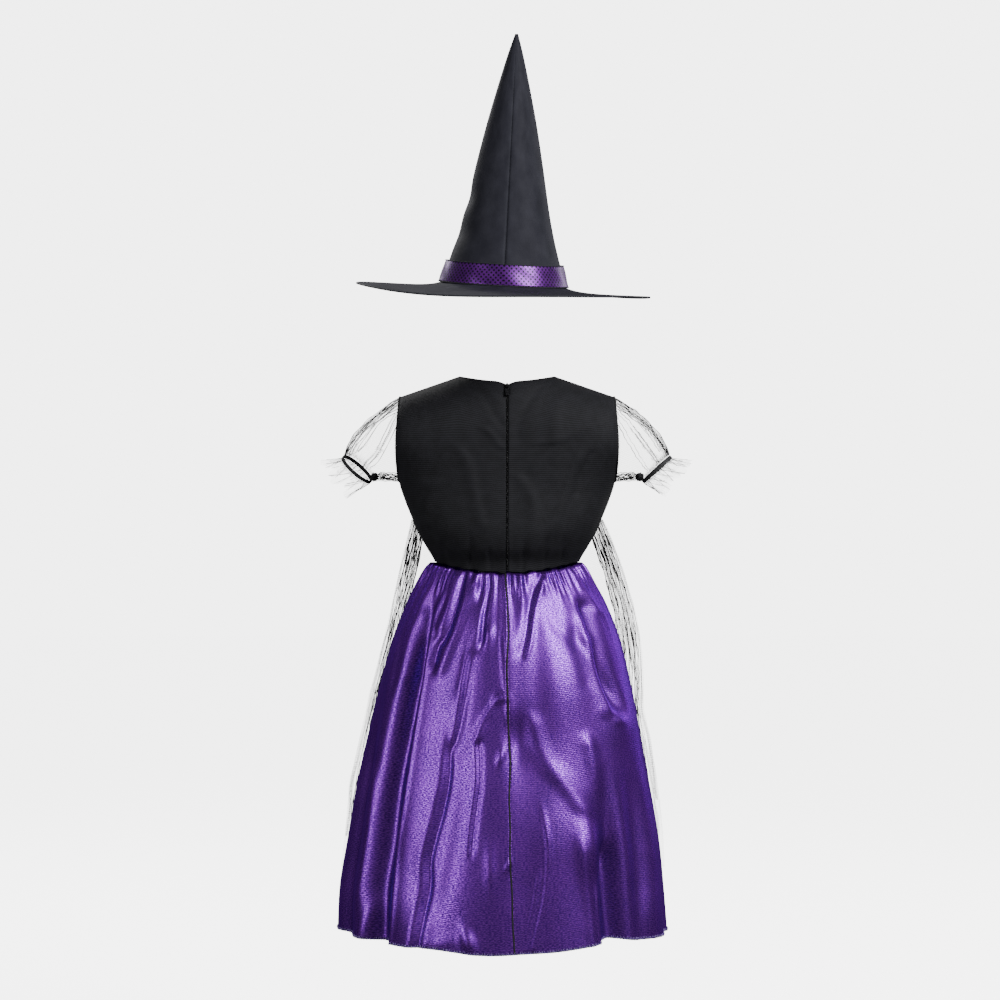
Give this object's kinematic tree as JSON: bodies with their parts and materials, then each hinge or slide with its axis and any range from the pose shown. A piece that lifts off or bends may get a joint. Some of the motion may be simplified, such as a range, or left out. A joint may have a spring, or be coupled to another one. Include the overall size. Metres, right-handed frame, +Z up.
{
  "type": "child's witch costume, hat and dress",
  "caption": "Pointed hat with a dotted band above a dress with a black bodice, net puff sleeves, a gathered satin skirt and a net front overlay; filled out, hollow, zip down the back.",
  "frame": {"origin": "between the shoulders, level with the top of the neck, where the wearer's shoulders hold the dress", "axes": "+Z up, the back of the dress faces -Y, +X is the wearer's right"},
  "size_m": [0.4882, 0.38, 1.1694],
  "materials": {
    "bodice_cloth": "matt, finely ribbed",
    "skirt_satin": "shiny satin",
    "black_net": "sheer net",
    "black_elastic": "woven elastic",
    "black_thread": "seam in black thread",
    "hat_taffeta": "smooth, a little shiny",
    "band_foil": "glossy foil with small dots",
    "zip_black": "satin black"
  },
  "bodies": {
    "costume": {"bodice_front": "bodice_cloth", "bodice_back_left": "bodice_cloth", "bodice_back_right": "bodice_cloth", "zip_chain": "zip_black", "zip_slider": "zip_black", "skirt_front": "skirt_satin", "skirt_back_left": "skirt_satin", "skirt_back_right": "skirt_satin", "skirt_back_seam": "black_thread", "overlay_front": "black_net", "sleeve_left": "black_net", "sleeve_right": "black_net", "cuff_ruffle_left": "black_net", "cuff_ruffle_right": "black_net", "cuff_elastic_left": "black_elastic", "cuff_elastic_right": "black_elastic", "sleeve_seam_left": "black_net", "sleeve_seam_right": "black_net", "cuff_knot_left": "black_elastic", "cuff_knot_right": "black_elastic", "hat_cone_left": "hat_taffeta", "hat_cone_right": "hat_taffeta", "hat_brim": "hat_taffeta", "hat_band": "band_foil"},
    "pull_tab": {"zip_pull_tab": "zip_black"}
  },
  "joints": [
    {"name": "pull_tab_swing", "type": "hinge", "parent": "costume", "child": "pull_tab", "pos_m": [0, -0.05708, -0.01275], "axis": [-1, 0, 0], "range_deg": [0, 150]}
  ]
}
